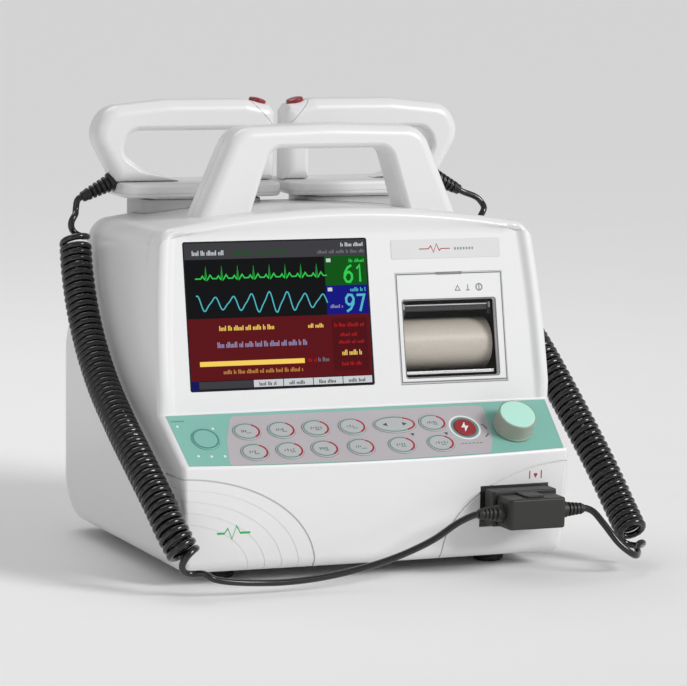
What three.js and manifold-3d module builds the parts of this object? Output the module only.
// Portable defibrillator and patient monitor with two hand paddles docked on its top.
// Millimetres, +X to the right of somebody facing the screen, +Y towards the back, +Z up.
// The origin is on the table, under the middle of the case.
import * as THREE from "three";
import { mergeVertices } from "three/addons/utils/BufferGeometryUtils.js";
import Module from "manifold-3d";

const wasm = await Module();
wasm.setup();

// ---- driving dimensions ----------------------------------------------------
const GAP = 0.3; // clearance between neighbouring pieces
const WALL = 3; // thickness of the moulded shells

const CASE_HALF_WIDTH = 188;
const CASE_BOTTOM_Z = 12;
const CASE_REAR_Y = 160;
const CASE_TOP_REAR = { y: 114, edgeZ: 292, rise: 14 };
const REAR_KNEE_Z = 176;

const FACE_TILT = THREE.MathUtils.degToRad(11.5); // the screen panel leans back
const FACE = { y: -89, z: 225 }; // a point of the screen panel on the centre plane
const FACE_TOP = { edge: 75, rise: 16 }; // along the panel, at the sides and extra at the middle

const STRIP_TOP = { y: -105.6, z: 143.2 }; // upper edge of the key panel
const STRIP_LENGTH = 63.2;
const STRIP_SLOPE = THREE.MathUtils.degToRad(36.4); // of the key panel, from the horizontal
const NOSE_BOW = 4.35; // how much longer the key panel is at the middle
const CROWN_RINGS = [0.72, 0.42, 0.16]; // the rings that close each side face, as shares of its size
const PARTING_DEPTH = 22; // the shells part this far behind the screen panel

const SCREEN = { x: -69.4, v: 0, width: 170.9, height: 128.2 };
const DOOR = { x: 94.1, v: -16.8, width: 103.8, height: 98.5, thick: 5 };
const DOOR_WINDOW = { x: 92.9, v: -26, width: 89.4, height: 68, thick: 1.6 };
const BAY_DEPTH = 62;
const PAPER = { v: -29, depth: 31, radius: 23, width: 88 };
const PLATEN = { v: 12, depth: 11, radius: 5.5, width: 84 };

const KEY = { halfWidth: 12.8, halfHeight: 10.2, proud: 0.9, below: 3.6 };
const KEY_ROWS = [
  { s: 24.3, xs: [-112.5, -80.5, -48.3, -14.2, 26, 62.3] },
  { s: 49.2, xs: [-112.5, -80.3, -47.8, -13.8, 24.7, 61.8] },
];
const WIDE_KEY = { row: 0, column: 4, halfWidth: 20.2 };
const SHOCK_KEY = { x: 91, s: 31.6, radius: 10.2 };
const POWER_KEY = { x: -152.4, s: 31.1, radius: 12.6 };
const KNOB = { x: 136, s: 35.2, radius: 17.4, skirt: 18, height: 17.8, cap: 16.2, shaft: 3, hole: 5 };
const OVERLAY = { topHalf: 180, bottomHalf: 176, thick: 1.2, margin: 1.6 };

const HANDLE = { y: -14, depth: 40, baseHalf: 122, shoulderHalf: 90, top: 384 };
const HANDLE_HOLE = { baseHalf: 78, topHalf: 56, top: 364 };

const PADDLE_Y = 101;
const PADDLE = { inner: 4.5, outer: 181.5, top: 400, thick: 32 };
const PAD_BASE = { inner: 4.5, outer: 157, bottom: 313, top: 325.7, halfDepth: 36 };
const ELECTRODE = { x: 79.5, width: 104, depth: 58, thick: 1.2 };
const DOCK = { x: 79.5, width: 115, depth: 56, top: 311.2 };
const BUTTON = { x: 18.5, z: 397.6, tilt: 0.26, radius: 8, above: 3.2, below: 6, travel: 2.5 };
const BOOT = { x: 158.2, z: 326, length: 32, dip: 0.45, rootRadius: 9, tipRadius: 5 };

const WIRE_RADIUS = 3;
const CURL_RADIUS = 15;
const PLUG = { x: 128.5, y: -191, z: 58 };

const TONGUE = { halfWidth: 24, halfHeight: 9.5, tip: -147 };
const SLEEVE_LENGTH = 24.6; // on each side of the connector
const SOCKET = { width: 66, height: 36, face: -156.2, rear: -132, hollowRear: -143 };

const BASE_PLATE = { halfWidth: 172, front: -142, rear: 144, corner: 12 };
const FOOT = { x: 129, frontY: -104, rearY: 118, radius: 13.5, chamfer: 2 };
const BATTERY = { x: -96, z: 50, width: 86, height: 58, front: -4, cap: 4, clearance: 1 };
const BATTERY_GRIP = { halfWidth: 18, low: 8, high: 20, deep: 1.8 };
const INLET = { x: 104, z: 52, width: 50, height: 28, depth: 16 };
const INLET_MOUTH = { width: 25, height: 17, depth: 13 };
const INLET_PINS = { size: [2, 4], length: 11, at: [[-7, -2], [0, 3], [7, -2]] };

const LCD = { width: 184, height: 134, front: -3.6, rear: -14 };
const CONTROL_BOARD = { width: 330, height: 44, s: 35, front: -11.4, rear: -13 };
const ENCODER = { size: 18, front: -6.5, bore: 3.4 };
const KEY_WINDOW = { x: -24, s: 36.5, width: 292, height: 50 };
const PRINT_HEAD = { v: 23, width: 88, height: 7, front: -9, rear: -24 };
const MAIN_BOARD = { halfWidth: 150, front: -40, rear: 128, z: 104, thick: 1.6 };
const CHARGE_MODULE = { x: [0, 96], y: [20, 120], z: [108, 150] };
const ENERGY_CAPACITOR = { x: -20, y: 64, z: 54, radius: 32, length: 96 };

// ---- colours and finishes --------------------------------------------------
function finish(hex, roughness, metalness = 0) {
  return new THREE.MeshStandardMaterial({ color: hex, roughness, metalness });
}
const WHITE = finish(0xe9eaea, 0.45);
const PALE_GREY = finish(0xc9cbcb, 0.5);
const TEAL = finish(0x78c3b7, 0.5);
const MINT = finish(0xa9ead6, 0.45);
const KEY_GREY = finish(0xb9c4c1, 0.55);
const KNOB_GREY = finish(0xaab0a6, 0.5);
const RED = finish(0x8c1f2a, 0.4);
const BLACK = finish(0x1a1a1a, 0.6);
const RUBBER = finish(0x2b2c2a, 0.8);
const GLASS = finish(0x0b0d10, 0.12);
const STEEL = finish(0xb8b9ba, 0.3, 0.9);
const PAPER_WHITE = finish(0xd9d2c6, 0.9);
const BOARD = finish(0x1f5b3a, 0.6);
const CAPACITOR = finish(0x33506f, 0.4);

const model = new THREE.Group();

// ---- helpers ---------------------------------------------------------------
function add(name, geometry, material) {
  const mesh = new THREE.Mesh(geometry, material);
  mesh.name = name;
  model.add(mesh);
}

// A closed geometry as a manifold-3d solid.
function solid(geometry) {
  const flat = geometry.index ? geometry.toNonIndexed() : geometry.clone();
  const bare = new THREE.BufferGeometry();
  bare.setAttribute("position", flat.getAttribute("position"));
  const merged = mergeVertices(bare, 1e-4);
  const mesh = new wasm.Mesh({
    numProp: 3,
    vertProperties: merged.attributes.position.array,
    triVerts: new Uint32Array(merged.index.array),
  });
  mesh.merge();
  return new wasm.Manifold(mesh);
}

// A manifold-3d solid as a geometry.
function shaped(manifold) {
  const mesh = manifold.getMesh();
  const geometry = new THREE.BufferGeometry();
  geometry.setAttribute("position", new THREE.BufferAttribute(mesh.vertProperties, 3));
  geometry.setIndex(new THREE.BufferAttribute(mesh.triVerts, 1));
  geometry.computeVertexNormals();
  return geometry;
}

function joined(...geometries) {
  return geometries.map(solid).reduce((all, one) => all.add(one));
}

function cutBy(manifold, ...cutters) {
  return cutters.reduce((left, cutter) => left.subtract(cutter), manifold);
}

// The outline through corners [a, b, radius], each rounded by an arc of that radius.
function roundedPoints(corners, perArc) {
  const points = [];
  corners.forEach(([a, b, radius], i) => {
    const here = new THREE.Vector2(a, b);
    const before = corners[(i + corners.length - 1) % corners.length];
    const after = corners[(i + 1) % corners.length];
    const back = new THREE.Vector2(before[0] - a, before[1] - b).normalize();
    const ahead = new THREE.Vector2(after[0] - a, after[1] - b).normalize();
    const half = Math.acos(THREE.MathUtils.clamp(back.dot(ahead), -1, 1)) / 2;
    if (radius <= 0 || half > 1.55) {
      points.push(here);
      return;
    }
    const reach = radius / Math.tan(half);
    const middle = back.clone().add(ahead).normalize().multiplyScalar(radius / Math.sin(half));
    const centre = here.clone().add(middle);
    const from = here.clone().addScaledVector(back, reach).sub(centre);
    const to = here.clone().addScaledVector(ahead, reach).sub(centre);
    const turn = Math.atan2(from.cross(to), from.dot(to));
    for (let k = 0; k <= perArc; k++) {
      points.push(from.clone().rotateAround(new THREE.Vector2(), (turn * k) / perArc).add(centre));
    }
  });
  return points;
}

function outline(corners, perArc = 4) {
  return new THREE.Shape(roundedPoints(corners, perArc));
}

function rectangle(width, height, radius = 0, x = 0, y = 0) {
  const [w, h] = [width / 2, height / 2];
  return [
    [x - w, y - h, radius],
    [x + w, y - h, radius],
    [x + w, y + h, radius],
    [x - w, y + h, radius],
  ];
}

// A plate in the XY plane from z = low to z = high. A bevel above 0 rounds its edges off, and
// one below 0 flares them, so that a hole cut with the plate has rounded rims.
function plate(shape, low, high, bevel = 0, bevelSegments = 2, curveSegments = 10) {
  const geometry = new THREE.ExtrudeGeometry(shape, {
    depth: high - low - 2 * Math.abs(bevel),
    bevelEnabled: bevel !== 0,
    bevelSize: bevel,
    bevelThickness: Math.abs(bevel),
    bevelOffset: -bevel,
    bevelSegments,
    curveSegments,
  });
  return geometry.translate(0, 0, low + Math.abs(bevel));
}

function box(x0, x1, y0, y1, z0, z1, radius = 0) {
  const shape = outline(rectangle(x1 - x0, y1 - y0, radius, (x0 + x1) / 2, (y0 + y1) / 2), 3);
  return plate(shape, z0, z1);
}

// A round piece about +Z from a profile of [radius, z] points that starts and ends on the axis.
function turned(profile, segments = 24) {
  const points = profile.map(([r, z]) => new THREE.Vector2(r, z));
  return new THREE.LatheGeometry(points, segments).rotateX(Math.PI / 2);
}

// An outline in the XZ plane given thickness along Y, centred on y.
function upright(shape, y, thick, bevel, bevelSegments = 3) {
  const geometry = plate(shape, -thick / 2, thick / 2, bevel, bevelSegments);
  return geometry.rotateX(Math.PI / 2).translate(0, y, 0);
}

function tube(points, radius, sides, steps) {
  const curve = new THREE.CatmullRomCurve3(points.map((p) => new THREE.Vector3(...p)));
  const ring = new THREE.Shape();
  ring.absarc(0, 0, radius, 0, 2 * Math.PI);
  return new THREE.ExtrudeGeometry(ring, {
    extrudePath: curve,
    steps,
    curveSegments: sides / 2,
    bevelEnabled: false,
  });
}

// Places a geometry made in the screen panel's own frame: x across, y up the panel, z out of it.
function onFace(geometry) {
  return geometry.rotateX(Math.PI / 2 - FACE_TILT).translate(0, FACE.y, FACE.z);
}

// The same for the key panel: x across, y up the slope from its upper edge, z out of it.
function onStrip(geometry) {
  return geometry.rotateX(STRIP_SLOPE).translate(0, STRIP_TOP.y, STRIP_TOP.z);
}

// ---- the case's outer form -------------------------------------------------
const alongFace = (v) => [
  FACE.y + v * Math.sin(FACE_TILT),
  FACE.z + v * Math.cos(FACE_TILT),
];
const alongStrip = (s) => [
  STRIP_TOP.y - s * Math.cos(STRIP_SLOPE),
  STRIP_TOP.z - s * Math.sin(STRIP_SLOPE),
];

// The case's side outline at one place across it: corners [y, z, radius], and for the edge
// that leaves each corner, how round the case's side edge is there.
function sideOutline(share) {
  const bow = 1 - share * share;
  const [noseY, noseZ] = alongStrip(STRIP_LENGTH + NOSE_BOW * bow);
  const [topY, topZ] = alongFace(FACE_TOP.edge + FACE_TOP.rise * bow);
  const [rearY, rearZ] = [CASE_TOP_REAR.y, CASE_TOP_REAR.edgeZ + CASE_TOP_REAR.rise * bow];
  return [
    { at: [noseY, noseZ, 5], edge: 4 },
    { at: [STRIP_TOP.y, STRIP_TOP.z, 3], edge: 6 },
    { at: [topY, topZ, 9], edge: 16 },
    { at: [rearY, rearZ, 16], edge: 20 },
    { at: [CASE_REAR_Y, REAR_KNEE_Z, 40], edge: 22 },
    { at: [CASE_REAR_Y, CASE_BOTTOM_Z, 34], edge: 14 },
    { at: [noseY + 4, CASE_BOTTOM_Z, 12], edge: 6 },
  ];
}

// The corners moved inwards, each edge by its own distance.
function inset(corners, distances) {
  const edges = corners.map(([a, b], i) => {
    const [c, d] = corners[(i + 1) % corners.length];
    const length = Math.hypot(c - a, d - b);
    const direction = [(c - a) / length, (d - b) / length];
    const inward = [direction[1], -direction[0]];
    return { from: [a + inward[0] * distances[i], b + inward[1] * distances[i]], direction };
  });
  return corners.map(([, , radius], i) => {
    const before = edges[(i + edges.length - 1) % edges.length];
    const after = edges[i];
    const cross =
      before.direction[0] * after.direction[1] - before.direction[1] * after.direction[0];
    const [dx, dy] = [after.from[0] - before.from[0], after.from[1] - before.from[1]];
    const t = (dx * after.direction[1] - dy * after.direction[0]) / cross;
    return [
      before.from[0] + before.direction[0] * t,
      before.from[1] + before.direction[1] * t,
      radius,
    ];
  });
}

// Half the case's width at a height and depth: widest at the middle of the sides.
function halfWidth(y, z) {
  const high = Math.max(0, z - 140) / 170;
  const low = Math.max(0, 140 - z) / 130;
  const ahead = Math.max(0, -20 - y) / 137;
  return CASE_HALF_WIDTH - 12 * high ** 2 - 4 * low ** 2 - 6 * ahead ** 2;
}

// Where the rings that make up the case's skin lie, from the left side to the right one. Each
// side face closes in shrinking rings, and each side edge is an arc in a few turns.
function ringStations(turns, middles) {
  const arc = [];
  for (let k = 0; k <= turns; k++) arc.push({ angle: (Math.PI / 2) * (k / turns), shrink: 1 });
  const end = [...arc, ...CROWN_RINGS.map((shrink) => ({ angle: Math.PI / 2, shrink }))];
  const stations = end.toReversed().map((station) => ({ side: -1, ...station }));
  for (let k = 1; k < middles; k++) {
    stations.push({ side: (2 * k) / middles - 1, angle: 0, shrink: 1 });
  }
  return stations.concat(end.map((station) => ({ side: 1, ...station })));
}

function ringPoints({ side, angle, shrink }, inside, perArc) {
  const parts = sideOutline(side * 0.94);
  const depths = parts.map((p) => inside + p.edge * (1 - Math.cos(angle)));
  const corners = inset(
    parts.map((p) => p.at),
    depths,
  ).map(([y, z, radius]) => [y, z, Math.max(0.6, Math.abs(radius - inside))]);
  const edges = parts.flatMap((p) => Array(perArc + 1).fill(p.edge));
  const centre = new THREE.Vector2(0, 150);
  return roundedPoints(corners, perArc).map((p, i) => {
    p.sub(centre).multiplyScalar(shrink).add(centre);
    const reach = halfWidth(p.x, p.y) - inside - edges[i] * (1 - Math.sin(angle));
    return [side * reach, p.x, p.y];
  });
}

// The case's outer form as a closed solid, or the form that lies that far inside it.
function caseForm(inside, perArc = 3, turns = 3, middles = 6) {
  const rings = ringStations(turns, middles).map((s) => ringPoints(s, inside, perArc));
  const count = rings[0].length;
  const faces = [];
  for (let r = 0; r < rings.length - 1; r++) {
    for (let i = 0; i < count; i++) {
      const [a, b] = [r * count + i, r * count + ((i + 1) % count)];
      faces.push(a, b + count, b, a, a + count, b + count);
    }
  }
  const flat = (ring) => ring.map(([, y, z]) => new THREE.Vector2(y, z));
  const last = (rings.length - 1) * count;
  for (const [a, b, c] of THREE.ShapeUtils.triangulateShape(flat(rings[0]), [])) {
    faces.push(a, c, b);
  }
  for (const [a, b, c] of THREE.ShapeUtils.triangulateShape(flat(rings.at(-1)), [])) {
    faces.push(last + a, last + b, last + c);
  }
  const geometry = new THREE.BufferGeometry();
  geometry.setAttribute("position", new THREE.Float32BufferAttribute(rings.flat(2), 3));
  geometry.setIndex(faces);
  return solid(geometry);
}

const caseOuter = caseForm(0);
const caseInner = caseForm(WALL);
const caseClearance = caseForm(-GAP);

// ---- shells ----------------------------------------------------------------
function half(front) {
  const far = 600;
  const [low, high] = front ? [-PARTING_DEPTH + GAP / 2, far] : [-far, -PARTING_DEPTH - GAP / 2];
  return solid(onFace(plate(outline(rectangle(2 * far, 2 * far)), low, high)));
}

const baseOpening = solid(
  box(
    -BASE_PLATE.halfWidth - GAP,
    BASE_PLATE.halfWidth + GAP,
    BASE_PLATE.front - GAP,
    BASE_PLATE.rear + GAP,
    0,
    CASE_BOTTOM_Z + WALL + 1,
    BASE_PLATE.corner,
  ),
);

function strip(shape, low, high) {
  return onStrip(plate(shape, low, high));
}

function overlayOutline(grow) {
  const low = -(STRIP_LENGTH - OVERLAY.margin);
  const shape = new THREE.Shape();
  shape.moveTo(-OVERLAY.topHalf - grow, -OVERLAY.margin + grow);
  shape.lineTo(-OVERLAY.bottomHalf - grow, low - grow);
  shape.quadraticCurveTo(0, low - 2 * NOSE_BOW - grow, OVERLAY.bottomHalf + grow, low - grow);
  shape.lineTo(OVERLAY.topHalf + grow, -OVERLAY.margin + grow);
  return shape;
}

// A cutter through the rear wall around a part given by x, z, width and height.
function rearHole(part, clearance) {
  return box(
    part.x - part.width / 2 - clearance,
    part.x + part.width / 2 + clearance,
    CASE_REAR_Y - 30,
    CASE_REAR_Y + 40,
    part.z - part.height / 2 - clearance,
    part.z + part.height / 2 + clearance,
  );
}

function frontBezel() {
  const screen = outline(rectangle(SCREEN.width + 1.8, SCREEN.height + 1.8, 2, SCREEN.x, SCREEN.v));
  const door = outline(rectangle(DOOR.width + 2 * GAP, DOOR.height + 2 * GAP, 0, DOOR.x, DOOR.v));
  const keys = outline(
    rectangle(KEY_WINDOW.width, KEY_WINDOW.height, 4, KEY_WINDOW.x, -KEY_WINDOW.s),
  );
  const shaft = new THREE.Shape().absarc(KNOB.x, -KNOB.s, KNOB.hole, 0, 2 * Math.PI);
  const socket = box(
    PLUG.x - SOCKET.width / 2 - GAP,
    PLUG.x + SOCKET.width / 2 + GAP,
    -200,
    -130,
    PLUG.z - SOCKET.height / 2 - GAP,
    PLUG.z + SOCKET.height / 2 + GAP,
  );
  return cutBy(
    caseOuter.subtract(caseInner).intersect(half(true)),
    baseOpening,
    solid(onFace(plate(screen, -10, 5))),
    solid(onFace(plate(door, -10, 5))),
    solid(strip(overlayOutline(GAP), -OVERLAY.thick - GAP, 5)),
    solid(strip(keys, -8, 5)),
    solid(strip(shaft, -8, 5)),
    solid(socket),
  );
}

function rearShell() {
  return cutBy(
    caseOuter.subtract(caseInner).intersect(half(false)),
    baseOpening,
    solid(rearHole(BATTERY, BATTERY.clearance)),
    solid(rearHole(INLET, GAP)),
  );
}

add("front_bezel", shaped(frontBezel()), WHITE);
add("rear_shell", shaped(rearShell()), WHITE);
add(
  "base_plate",
  box(
    -BASE_PLATE.halfWidth,
    BASE_PLATE.halfWidth,
    BASE_PLATE.front,
    BASE_PLATE.rear,
    CASE_BOTTOM_Z,
    CASE_BOTTOM_Z + WALL,
    BASE_PLATE.corner,
  ),
  PALE_GREY,
);

function feet() {
  const profile = [
    [0, 0],
    [FOOT.radius - FOOT.chamfer, 0],
    [FOOT.radius, FOOT.chamfer],
    [FOOT.radius, CASE_BOTTOM_Z - GAP],
    [0, CASE_BOTTOM_Z - GAP],
  ];
  for (const [side, x] of [["left", -FOOT.x], ["right", FOOT.x]]) {
    for (const [end, y] of [["front", FOOT.frontY], ["rear", FOOT.rearY]]) {
      add(`foot_${end}_${side}`, turned(profile, 20).translate(x, y, 0), RUBBER);
    }
  }
}
feet();

// ---- carrying handle -------------------------------------------------------
function carryHandle() {
  const foot = 296;
  const arch = outline([
    [-HANDLE.baseHalf - 6, foot, 0],
    [HANDLE.baseHalf + 6, foot, 0],
    [HANDLE.shoulderHalf, HANDLE.top - 1, 24],
    [0, HANDLE.top + 1.5, 300],
    [-HANDLE.shoulderHalf, HANDLE.top - 1, 24],
  ]);
  const gap = outline([
    [-HANDLE_HOLE.baseHalf - 6, foot - 20, 0],
    [HANDLE_HOLE.baseHalf + 6, foot - 20, 0],
    [HANDLE_HOLE.topHalf, HANDLE_HOLE.top, 12],
    [-HANDLE_HOLE.topHalf, HANDLE_HOLE.top, 12],
  ]);
  const body = solid(upright(arch, HANDLE.y, HANDLE.depth, 8));
  return cutBy(body, solid(upright(gap, HANDLE.y, HANDLE.depth + 1, -6)), caseClearance);
}
add("carry_handle", shaped(carryHandle()), WHITE);

// ---- display ---------------------------------------------------------------
add(
  "display_window",
  onFace(
    plate(outline(rectangle(SCREEN.width + 1.2, SCREEN.height + 1.2, 1.7, SCREEN.x, SCREEN.v)), -3, -0.6),
  ),
  GLASS,
);
add(
  "lcd_module",
  onFace(plate(outline(rectangle(LCD.width, LCD.height, 0, SCREEN.x, SCREEN.v)), LCD.rear, LCD.front)),
  PALE_GREY,
);

// ---- key panel -------------------------------------------------------------
function ellipse(x, s, halfWide, halfTall) {
  return new THREE.Shape().absellipse(x, -s, halfWide, halfTall, 0, 2 * Math.PI);
}

function keyPlaces() {
  const places = [];
  KEY_ROWS.forEach((row, r) => {
    row.xs.forEach((x, c) => {
      const wide = r === WIDE_KEY.row && c === WIDE_KEY.column;
      places.push({
        name: `key_${r + 1}_${c + 1}`,
        x,
        s: row.s,
        halfWide: wide ? WIDE_KEY.halfWidth : KEY.halfWidth,
        halfTall: KEY.halfHeight,
        material: KEY_GREY,
      });
    });
  });
  const round = (name, place, material) => ({
    name,
    x: place.x,
    s: place.s,
    halfWide: place.radius,
    halfTall: place.radius,
    material,
  });
  places.push(round("shock_key", SHOCK_KEY, RED), round("power_key", POWER_KEY, TEAL));
  return places;
}

function keyPanel() {
  const shape = overlayOutline(0);
  for (const key of keyPlaces()) {
    shape.holes.push(ellipse(key.x, key.s, key.halfWide + GAP, key.halfTall + GAP));
    const cap = plate(ellipse(key.x, key.s, key.halfWide, key.halfTall), -KEY.below, KEY.proud, 0.5, 1);
    add(key.name, onStrip(cap), key.material);
  }
  shape.holes.push(ellipse(KNOB.x, KNOB.s, KNOB.hole, KNOB.hole));
  add("control_overlay", onStrip(plate(shape, -OVERLAY.thick, 0)), TEAL);
}
keyPanel();

function controlBoard() {
  const { width, height, s, front, rear } = CONTROL_BOARD;
  const board = plate(outline(rectangle(width, height, 0, 0, -s)), rear, front);
  const housing = outline(rectangle(ENCODER.size, ENCODER.size, 1, KNOB.x, -KNOB.s));
  const encoder = plate(housing, front - 0.2, ENCODER.front);
  const bore = plate(ellipse(KNOB.x, KNOB.s, ENCODER.bore, ENCODER.bore), rear - 5, 0);
  return onStrip(shaped(joined(board, encoder).subtract(solid(bore))));
}
add("control_board", controlBoard(), BOARD);

function knob() {
  const [low, high] = [0.7, KNOB.height];
  const place = (geometry) => onStrip(geometry.translate(KNOB.x, -KNOB.s, 0));
  const body = turned(
    [
      [0, -10],
      [KNOB.shaft, -10],
      [KNOB.shaft, low],
      [KNOB.skirt, low],
      [KNOB.skirt, low + 2.5],
      [KNOB.radius + 0.5, low + 4],
      [KNOB.radius, high - 0.8],
      [KNOB.radius - 0.8, high],
      [KNOB.cap + GAP, high],
      [KNOB.cap + GAP, high - 1.2],
      [0, high - 1.2],
    ],
    32,
  );
  const cap = turned(
    [
      [0, high - 1.2 + GAP],
      [KNOB.cap, high - 1.2 + GAP],
      [KNOB.cap, high],
      [KNOB.cap - 1, high + 0.5],
      [0, high + 0.5],
    ],
    32,
  );
  add("energy_knob", place(body), KNOB_GREY);
  add("knob_cap", place(cap), MINT);
}
knob();

// ---- strip chart printer ---------------------------------------------------
const DOOR_AXIS = { v: DOOR.v - DOOR.height / 2 + DOOR.thick / 2, z: -DOOR.thick / 2 };

function alongX(geometry, x, v, z) {
  return geometry.rotateY(Math.PI / 2).translate(x, v, z);
}

function printerDoor() {
  const top = DOOR.v + DOOR.height / 2;
  const middle = (top + DOOR_AXIS.v) / 2;
  const leaf = plate(
    outline(rectangle(DOOR.width, top - DOOR_AXIS.v, 0, DOOR.x, middle)),
    -DOOR.thick,
    0,
  );
  const edge = new THREE.CylinderGeometry(DOOR.thick / 2, DOOR.thick / 2, DOOR.width, 16);
  const hinge = edge.rotateZ(Math.PI / 2).translate(DOOR.x, DOOR_AXIS.v, DOOR_AXIS.z);
  const window = outline(
    rectangle(DOOR_WINDOW.width, DOOR_WINDOW.height, 2, DOOR_WINDOW.x, DOOR_WINDOW.v),
  );
  return joined(leaf, hinge).subtract(solid(plate(window, -10, 10)));
}
add("printer_door", onFace(shaped(printerDoor())), WHITE);
add(
  "door_window",
  onFace(
    plate(
      outline(
        rectangle(
          DOOR_WINDOW.width - 2 * GAP,
          DOOR_WINDOW.height - 2 * GAP,
          1.7,
          DOOR_WINDOW.x,
          DOOR_WINDOW.v,
        ),
      ),
      -4.6,
      -4.6 + DOOR_WINDOW.thick,
    ),
  ),
  GLASS,
);

function printerBay() {
  const front = -DOOR.thick - 0.6;
  const outer = plate(
    outline(rectangle(DOOR.width - 2, DOOR.height - 2, 2, DOOR.x, DOOR.v)),
    -BAY_DEPTH,
    front,
  );
  const hollow = plate(
    outline(rectangle(DOOR.width - 7, DOOR.height - 7, 1, DOOR.x, DOOR.v)),
    -BAY_DEPTH + 2.5,
    5,
  );
  return solid(outer).subtract(solid(hollow));
}
add("printer_bay", onFace(shaped(printerBay())), BLACK);

function roller(part, core, segments) {
  const [r, h] = [part.radius, part.width / 2];
  const profile = [
    [0, -h],
    [r, -h],
    [r, h],
    [0, h],
  ];
  if (core) {
    profile.splice(0, 4, [core, -h], [r, -h], [r, h], [core, h], [core, -h]);
  }
  return onFace(alongX(turned(profile, segments), DOOR_WINDOW.x, part.v, -part.depth));
}
add("paper_roll", roller(PAPER, 6, 28), PAPER_WHITE);
add("platen_roller", roller(PLATEN, 0, 20), RUBBER);
add(
  "print_head",
  onFace(
    plate(
      outline(rectangle(PRINT_HEAD.width, PRINT_HEAD.height, 0, DOOR_WINDOW.x, PRINT_HEAD.v)),
      PRINT_HEAD.rear,
      PRINT_HEAD.front,
    ),
  ),
  STEEL,
);

// ---- paddles, docks and their cords ----------------------------------------
// Outlines below are given for the right side, and side = -1 makes the left one.
function mirrored(corners, side) {
  return corners.map(([x, z, radius]) => [side * x, z, radius]);
}

function gripOutline(side) {
  return outline(
    mirrored(
      [
        [PADDLE.inner, PAD_BASE.top + GAP, 0],
        [PADDLE.outer - 24, PAD_BASE.top + GAP, 0],
        [PADDLE.outer - 20, 332, 0],
        [PADDLE.outer, 368, 20],
        [PADDLE.outer - 12, 394, 18],
        [110, PADDLE.top, 40],
        [34, PADDLE.top, 12],
        [9, 394.5, 0],
        [PADDLE.inner, 388, 0],
      ],
      side,
    ),
    3,
  );
}

// The space for the fingers, open downwards to the electrode housing.
function handOutline(side) {
  return outline(
    mirrored(
      [
        [29, 318, 0],
        [72, 318, 0],
        [132, 338, 14],
        [152, 352, 9],
        [147, 372, 14],
        [29, 372, 8],
      ],
      side,
    ),
    3,
  );
}

// The end cap is what lies above the slanting seam at the grip's inner end.
function capRegion(side, gap) {
  const shape = new THREE.Shape(
    mirrored([[-2, 366], [32, 402], [32, 420], [-2, 420]], side).map(
      ([x, z]) => new THREE.Vector2(x, z - gap),
    ),
  );
  return solid(upright(shape, PADDLE_Y, 80, 0));
}

function atButton(profile, side) {
  return turned(profile, 20)
    .rotateY(-side * BUTTON.tilt)
    .translate(side * BUTTON.x, PADDLE_Y, BUTTON.z);
}

function dischargeButton(side) {
  const { radius: r, above, below } = BUTTON;
  return atButton([[0, -below], [r, -below], [r, above - 1.6], [r - 2, above - 0.4], [0, above]], side);
}

// The well that the discharge button sinks into.
function buttonWell(side) {
  const r = BUTTON.radius + 0.4;
  const floor = -BUTTON.below - BUTTON.travel - 0.8;
  return atButton([[0, floor], [r, floor], [r, BUTTON.above + 6], [0, BUTTON.above + 6]], side);
}

// A tapered strain relief that leaves the paddle outwards and down. Its root is cut to sit
// against the end of the electrode housing and the slanting flank of the grip.
function boot(side) {
  const { rootRadius: root, tipRadius: tip, length } = BOOT;
  const profile = [
    [0, -8],
    [root, -8],
    [root, 2.5],
    [root - 2.2, 5],
    [tip, length],
    [0, length],
  ];
  const cone = turned(profile, 16)
    .rotateY(side * (Math.PI / 2 + BOOT.dip))
    .translate(side * BOOT.x, PADDLE_Y, BOOT.z);
  const outside = new THREE.Shape(
    mirrored(
      [
        [PAD_BASE.outer + GAP, BOOT.z - 40],
        [PAD_BASE.outer + GAP, PAD_BASE.top + GAP],
        [PADDLE.outer - 24 + 1.5 * GAP, PAD_BASE.top + GAP],
        [PADDLE.outer - 20 + 1.5 * GAP, 332],
        [PADDLE.outer + 1.5 * GAP, 368],
        [PADDLE.outer + 60, 368],
        [PADDLE.outer + 60, BOOT.z - 40],
      ],
      side,
    ).map(([x, z]) => new THREE.Vector2(x, z)),
  );
  return solid(cone).intersect(solid(upright(outside, PADDLE_Y, 60, 0)));
}

function paddle(side, name) {
  const grip = solid(upright(gripOutline(side), PADDLE_Y, PADDLE.thick, 7)).subtract(
    solid(upright(handOutline(side), PADDLE_Y, PADDLE.thick + 1, -6)),
  );
  const well = solid(buttonWell(side));
  add(`${name}_grip`, shaped(cutBy(grip, capRegion(side, GAP), well)), WHITE);
  add(`${name}_end_cap`, shaped(cutBy(grip.intersect(capRegion(side, 0)), well)), WHITE);
  add(`${name}_discharge_button`, dischargeButton(side), RED);
  const middle = (PAD_BASE.inner + PAD_BASE.outer) / 2;
  const width = PAD_BASE.outer - PAD_BASE.inner;
  add(
    `${name}_electrode_housing`,
    plate(
      outline(rectangle(width, 2 * PAD_BASE.halfDepth, 14, side * middle, PADDLE_Y), 4),
      PAD_BASE.bottom,
      PAD_BASE.top,
      2.5,
      2,
    ),
    WHITE,
  );
  add(
    `${name}_electrode`,
    plate(
      outline(rectangle(ELECTRODE.width, ELECTRODE.depth, 12, side * ELECTRODE.x, PADDLE_Y), 4),
      PAD_BASE.bottom - GAP - ELECTRODE.thick,
      PAD_BASE.bottom - GAP,
    ),
    STEEL,
  );
  add(`${name}_strain_relief`, shaped(boot(side)), RUBBER);
  const dock = box(
    side * DOCK.x - DOCK.width / 2,
    side * DOCK.x + DOCK.width / 2,
    PADDLE_Y - DOCK.depth / 2,
    PADDLE_Y + DOCK.depth / 2,
    280,
    DOCK.top,
    10,
  );
  add(`${name}_dock`, shaped(cutBy(solid(dock), caseClearance)), PALE_GREY);
}
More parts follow.
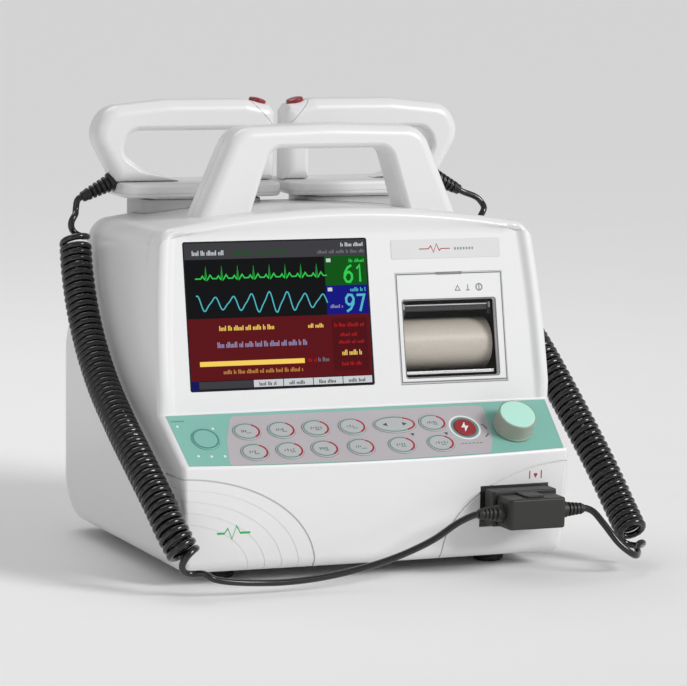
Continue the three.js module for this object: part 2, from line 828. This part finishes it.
paddle(-1, "left_paddle");
paddle(1, "right_paddle");

// Where each boot ends and which way it points.
function bootTip(side, beyond) {
  const reach = BOOT.length + beyond;
  return [
    side * (BOOT.x + reach * Math.cos(BOOT.dip)),
    PADDLE_Y,
    BOOT.z - reach * Math.sin(BOOT.dip),
  ];
}

// The cords' routes, laid by hand: each is a curly stretch beside the case and a plain lead.
const LEFT_CURL = [
  [-193, 100, 301],
  [-198, 86, 285],
  [-202, 70, 256],
  [-204, 49, 222],
  [-205, 20, 188],
  [-205.5, -18, 157],
  [-206, -66, 129],
  [-205, -112, 103],
  [-201, -149, 76],
  [-194, -176, 47],
  [-182, -190, 24],
  [-166, -195, 16],
];
const LEFT_LEAD = [
  [-120, -195.5, 10.5],
  [-80, -195, 11],
  [-40, -194, 16],
  [0, -193, 25],
  [35, -192, 38],
  [60, -191, 52],
  [76.6, -191, 58],
];
const RIGHT_CURL = [
  [209, 102, 302],
  [212, 92, 282],
  [209, 68, 249],
  [207, 36, 222],
  [208, 2, 198],
  [213, -34, 170],
  [223, -74, 128],
  [234, -114, 82],
  [241, -146, 44],
  [241, -172, 23],
  [233, -194, 16],
];
const RIGHT_LEAD = [
  [222, -208, 17],
  [207, -208, 28],
  [196, -200, 44],
  [188, -193, 55],
  [181.2, -191, 58],
];

// The point that lies past the end of a list of points, in line with its last two.
function beyond(points, distance) {
  const [before, last] = points.slice(-2).map((p) => new THREE.Vector3(...p));
  const step = last.clone().sub(before).setLength(distance);
  return last.add(step).toArray();
}

function cords() {
  for (const [side, name, curl, lead] of [
    [-1, "left", LEFT_CURL, LEFT_LEAD],
    [1, "right", RIGHT_CURL, RIGHT_LEAD],
  ]) {
    const tail = tube([bootTip(side, GAP), bootTip(side, 4), curl[0], curl[1]], WIRE_RADIUS, 8, 8);
    const coil = tube(curl, CURL_RADIUS, 12, 26);
    add(`${name}_curly_cord`, shaped(joined(tail, coil)), BLACK);
    const start = [beyond(curl, GAP), beyond(curl, 6)];
    add(`${name}_lead`, tube([...start, ...lead], WIRE_RADIUS, 8, 24), BLACK);
  }
}
cords();

// The connector: a block with a tongue into the case and a sleeve for a cord on each side.
function paddleConnector() {
  const { x, y, z } = PLUG;
  const nose = box(x - 27, x + 27, y - 15, y + 15, z - 13.5, z + 13.5, 3);
  const back = box(x - 31, x + 31, y + 12, y + 30.5, z - 14.5, z + 16.5, 2);
  const { halfWidth, halfHeight } = TONGUE;
  const tongue = box(
    x - halfWidth,
    x + halfWidth,
    y + 28,
    TONGUE.tip,
    z - halfHeight,
    z + halfHeight,
    1,
  );
  const profile = [[0, 0], [7.5, 0], [7, 8], [6, 8.5], [4.2, SLEEVE_LENGTH], [0, SLEEVE_LENGTH]];
  const sleeves = [-1, 1].map((side) =>
    turned(profile, 14)
      .rotateY((side * Math.PI) / 2)
      .translate(x + side * 26, y, z),
  );
  return joined(nose, back, tongue, ...sleeves);
}
add("paddle_connector", shaped(paddleConnector()), RUBBER);

function paddleSocket() {
  const { x, z } = PLUG;
  const [w, h] = [SOCKET.width / 2, SOCKET.height / 2];
  const block = box(x - w, x + w, SOCKET.face, SOCKET.rear, z - h, z + h);
  const [inW, inH] = [TONGUE.halfWidth + 1, TONGUE.halfHeight + 1];
  const hollow = box(x - inW, x + inW, SOCKET.face - 10, SOCKET.hollowRear, z - inH, z + inH);
  return solid(block).subtract(solid(hollow));
}
add("paddle_socket", shaped(paddleSocket()), BLACK);

// ---- inside and at the back ------------------------------------------------
// A box centred on x and z that runs from one depth to another.
function block(x, z, halfWidth, halfHeight, front, rear, radius = 0) {
  return box(x - halfWidth, x + halfWidth, front, rear, z - halfHeight, z + halfHeight, radius);
}

function batteryPack() {
  const { x, z, front, cap } = BATTERY;
  const [w, h] = [BATTERY.width / 2, BATTERY.height / 2];
  const cells = block(x, z, w - 2, h - 2, front, CASE_REAR_Y - 2);
  const cover = block(x, z, w, h, CASE_REAR_Y - cap, CASE_REAR_Y);
  const { halfWidth, low, high, deep } = BATTERY_GRIP;
  const grip = box(
    x - halfWidth,
    x + halfWidth,
    CASE_REAR_Y - deep,
    CASE_REAR_Y + 1,
    z + low,
    z + high,
  );
  return joined(cells, cover).subtract(solid(grip));
}
add("battery_pack", shaped(batteryPack()), PALE_GREY);

function mainsInlet() {
  const { x, z, width, height, depth } = INLET;
  const rear = CASE_REAR_Y;
  const flange = block(x, z, width / 2, height / 2, rear - depth, rear);
  const floor = rear - INLET_MOUTH.depth;
  const mouth = block(x, z, INLET_MOUTH.width / 2, INLET_MOUTH.height / 2, floor, rear + 4);
  const [pinWide, pinTall] = INLET_PINS.size;
  const pins = INLET_PINS.at.map(([dx, dz]) =>
    solid(block(x + dx, z + dz, pinWide / 2, pinTall / 2, floor - 1, floor + INLET_PINS.length - 1)),
  );
  return pins.reduce((all, pin) => all.add(pin), solid(flange).subtract(solid(mouth)));
}
add("mains_inlet", shaped(mainsInlet()), BLACK);

add(
  "main_board",
  box(
    -MAIN_BOARD.halfWidth,
    MAIN_BOARD.halfWidth,
    MAIN_BOARD.front,
    MAIN_BOARD.rear,
    MAIN_BOARD.z,
    MAIN_BOARD.z + MAIN_BOARD.thick,
  ),
  BOARD,
);
add("charge_module", box(...CHARGE_MODULE.x, ...CHARGE_MODULE.y, ...CHARGE_MODULE.z, 3), STEEL);

function energyCapacitor() {
  const { x, y, z, radius, length } = ENERGY_CAPACITOR;
  const can = turned([[0, 0], [radius, 0], [radius, length], [0, length]]);
  return can.rotateY(Math.PI / 2).translate(x, y, z);
}
add("energy_capacitor", energyCapacitor(), CAPACITOR);

export default model;
